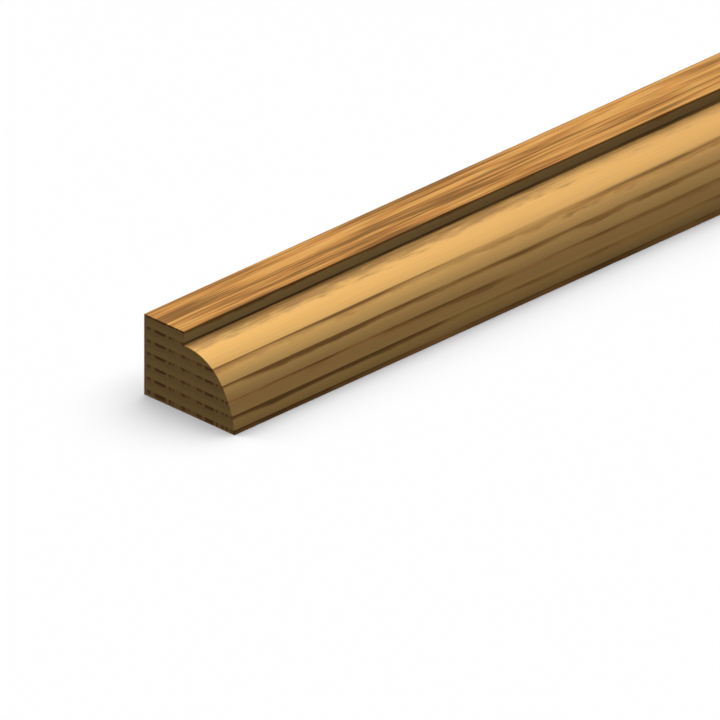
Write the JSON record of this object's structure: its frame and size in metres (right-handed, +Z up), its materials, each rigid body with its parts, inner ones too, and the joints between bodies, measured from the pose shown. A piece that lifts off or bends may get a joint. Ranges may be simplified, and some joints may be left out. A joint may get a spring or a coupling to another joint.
{
  "type": "sash bead moulding",
  "caption": "Length of planed softwood sash bead: flat fillet, square quirk and an ovolo front, run as one solid stick.",
  "frame": {"origin": "middle of the bottom face, half way along the stick and half way across its width", "axes": "+X along the stick, +Y across it towards the plain back face, so the moulded front faces -Y, +Z up through the fillet"},
  "size_m": [2.4, 0.0206, 0.0145],
  "materials": {
    "planed_redwood": "planed, clear sealed"
  },
  "bodies": {
    "root": {"sash_bead": "planed_redwood"}
  },
  "joints": []
}
